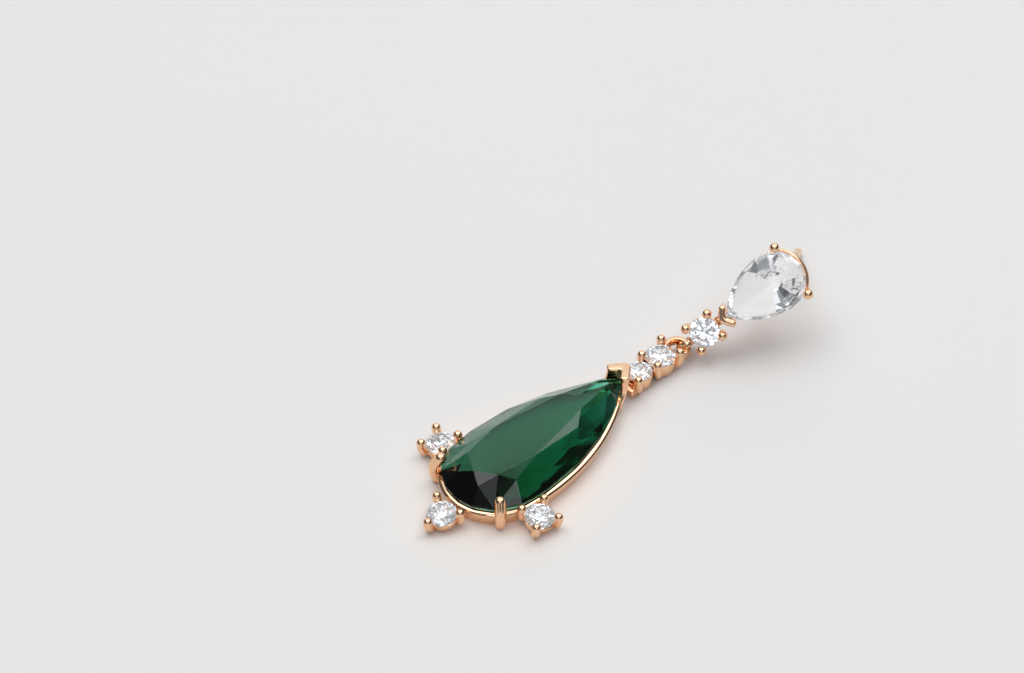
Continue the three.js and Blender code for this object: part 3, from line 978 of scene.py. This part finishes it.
def makePearStone(name, node, material, place, star=None, splits=()):
    # A copy of the cut stone, with its loose triangles merged into whole facets
    clearSelection()
    stone = nodes[node].copy()
    stone.data = nodes[node].data.copy()
    stone.name = name
    stone.parent = None
    for key in list(stone.keys()):
        del stone[key]
    bpy.context.scene.collection.objects.link(stone)
    stone.select_set(True)
    bpy.context.view_layer.objects.active = stone
    stone.data.transform(place.inverted())
    if star:
        for vertex in stone.data.vertices:
            if abs(vertex.co.z - star["low"]) < star["within"] and star["start"] < vertex.co.y < star["end"]:
                vertex.co.z = star["high"]
    bpy.ops.mesh.customdata_custom_splitnormals_clear()
    bpy.ops.object.shade_flat()
    bpy.ops.object.mode_set(mode="EDIT")
    bpy.ops.mesh.select_all(action="SELECT")
    bpy.ops.mesh.remove_doubles(threshold=pearSeam)
    bpy.ops.mesh.dissolve_limited(angle_limit=math.radians(1))
    for high in splits:
        bpy.ops.mesh.select_all(action="SELECT")
        bpy.ops.mesh.bisect(plane_co=(0, 0, high), plane_no=(0, 0, 1))
    bpy.ops.object.mode_set(mode="OBJECT")
    finishPiece(stone, place, material, None)
    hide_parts(node)
    return stone


# The back of the clear pear is pale in the middle and silvered round its edge, both glowing with painted
# light, and has painted shade on both shoulders, where its foil barely glows
backValues = {
    "splits": (-0.36, -1.6), "top": -0.01, "shoulderAcross": 0.5, "shoulderStart": 4.9, "shoulderEnd": 8.4,
}


def backPearStone(stone, place):
    for material in (pearl, edgeFoilPaintedLight, shoulderFoilPaintedShade):
        stone.data.materials.append(material)
    middle, edge, dark = 1, 2, 3
    local = place.inverted()
    outer, inner = backValues["splits"]
    for face in stone.data.polygons:
        centre = local @ face.center
        if centre.z > backValues["top"]:
            continue
        along = backValues["shoulderStart"] < centre.y < backValues["shoulderEnd"]
        shoulder = along and abs(centre.x) > backValues["shoulderAcross"] and centre.z > inner
        # painted shade on the shoulders, painted light at the edge and in the middle
        face.material_index = dark if shoulder else edge if centre.z > outer else middle


makePearStone("green_pear", "green_pear_stone", green, dropPlace, greenStar)
clearPearStone = makePearStone(
    "clear_pear", "clear_pear_stone", clearGlass, upperPlace, splits=backValues["splits"]
)
backPearStone(clearPearStone, upperPlace)
print("pear stones cut")

# Floor, a hair under the earring
floorValues = {"size": 8, "under": 0.00001}
clearSelection()
bpy.ops.mesh.primitive_plane_add(size=floorValues["size"], location=(0, 0, -floorValues["under"]))
floor = bpy.context.active_object
floor.name = "studio_floor"
floor.data.materials.append(floorFinish())


# Lights: one over the far end of the earring and a larger one overhead, under a sky
lightValues = [  # name, place, size, watts, colour
    ("key", (0.08, 0.45, 0.64), 0.42, 1.1, (0.98, 0.99, 1.0)),
    ("top", (-0.25, -0.12, 0.78), 0.6, 1.6, (1.0, 0.985, 0.95)),
]
for name, spot, size, power, colour in lightValues:
    clearSelection()
    bpy.ops.object.light_add(type="AREA", location=spot)
    lamp = bpy.context.active_object
    lamp.name = name
    lamp.data.size = size
    lamp.data.energy = power
    lamp.data.color = colour
    lamp.rotation_mode = "QUATERNION"
    lamp.rotation_quaternion = (-Vector(spot)).to_track_quat("-Z", "Y")


# The sky is pale, brighter overhead and in a disc on the camera's side, and dim at both sides. A dim ring
# lies round the disc and a small bright panel beside it: they make the stones' dark and bright facets
skyValues = {
    "colour": (0.94, 1.0, 1.05),
    "across": (0.7015, 0.7127, 0), "narrow": 0.35, "wide": 0.72, "sideDim": 0.1,
    "front": (0.5, -0.492, 0.713), "ring": (0.76, 0.86), "ringDim": 0.22,
    "disc": (0.966, 0.988), "discLight": 1.7,
    "panel": (0.502, -0.08, 0.861), "panelEdge": (0.982, 0.993), "panelLight": 1.25,
    "rise": (0.65, 1.0), "low": 0.94, "high": 1.4,
}
world = bpy.data.worlds.new("studio")
bpy.context.scene.world = world
sky = Finish("studio", world)
direction = sky.node("TexCoord", output="Generated")


def along(axis):
    return sky.node("VectorMath", {"operation": "DOT_PRODUCT"}, {0: direction, 1: axis}, "Value")


def ramp(value, edge, first, last):
    ranges = {"From Min": edge[0], "From Max": edge[1], "To Min": first, "To Max": last}
    return sky.node("MapRange", {"interpolation_type": "SMOOTHSTEP"}, {"Value": value, **ranges})


aside = sky.node("Math", {"operation": "ABSOLUTE"}, {0: along(skyValues["across"])})
sides = ramp(aside, (skyValues["narrow"], skyValues["wide"]), 1.0, skyValues["sideDim"])
toFront = along(skyValues["front"])
front = ramp(toFront, skyValues["ring"], 1.0, skyValues["ringDim"])
front = front + ramp(toFront, skyValues["disc"], 0.0, skyValues["discLight"])
front = front + ramp(along(skyValues["panel"]), skyValues["panelEdge"], 0.0, skyValues["panelLight"])
height = sky.node("SeparateXYZ", {}, {"Vector": direction}, "Z")
overhead = ramp(height, skyValues["rise"], skyValues["low"], skyValues["high"])
glow = sky.node("Background", {}, {"Color": skyValues["colour"], "Strength": sides * front * overhead})
sky.tree.links.new(glow.socket, sky.tree.nodes.new("ShaderNodeOutputWorld").inputs["Surface"])
print("floor and lights set")


# Camera at the photograph's angle
cameraValues = {
    "azimuth": 45.45, "elevation": 45.47, "distance": 0.942, "pixelsPerMillimetre": 10.34,
    "lookAcross": -13.08, "lookAlong": -2.07, "frameWidth": 1024, "sensor": 36, "near": 0.05, "far": 20,
}
azimuth, elevation = math.radians(cameraValues["azimuth"]), math.radians(cameraValues["elevation"])
back = Vector(
    (math.sin(azimuth) * math.cos(elevation), -math.cos(azimuth) * math.cos(elevation), math.sin(elevation))
)
look = Vector((cameraValues["lookAcross"] * millimetre, cameraValues["lookAlong"] * millimetre + tipAlong, 0))
bpy.ops.object.camera_add(location=look + back * cameraValues["distance"])
camera = bpy.context.active_object
camera.rotation_mode = "QUATERNION"
camera.rotation_quaternion = (-back).to_track_quat("-Z", "Y")
camera.data.sensor_width = cameraValues["sensor"]
pixelsPerMetre = cameraValues["pixelsPerMillimetre"] / millimetre
lensPixels = pixelsPerMetre * cameraValues["distance"]
camera.data.lens = lensPixels * cameraValues["sensor"] / cameraValues["frameWidth"]
camera.data.clip_start = cameraValues["near"]
camera.data.clip_end = cameraValues["far"]
bpy.context.scene.camera = camera
bpy.context.scene.view_settings.view_transform = "Standard"
print("camera set")
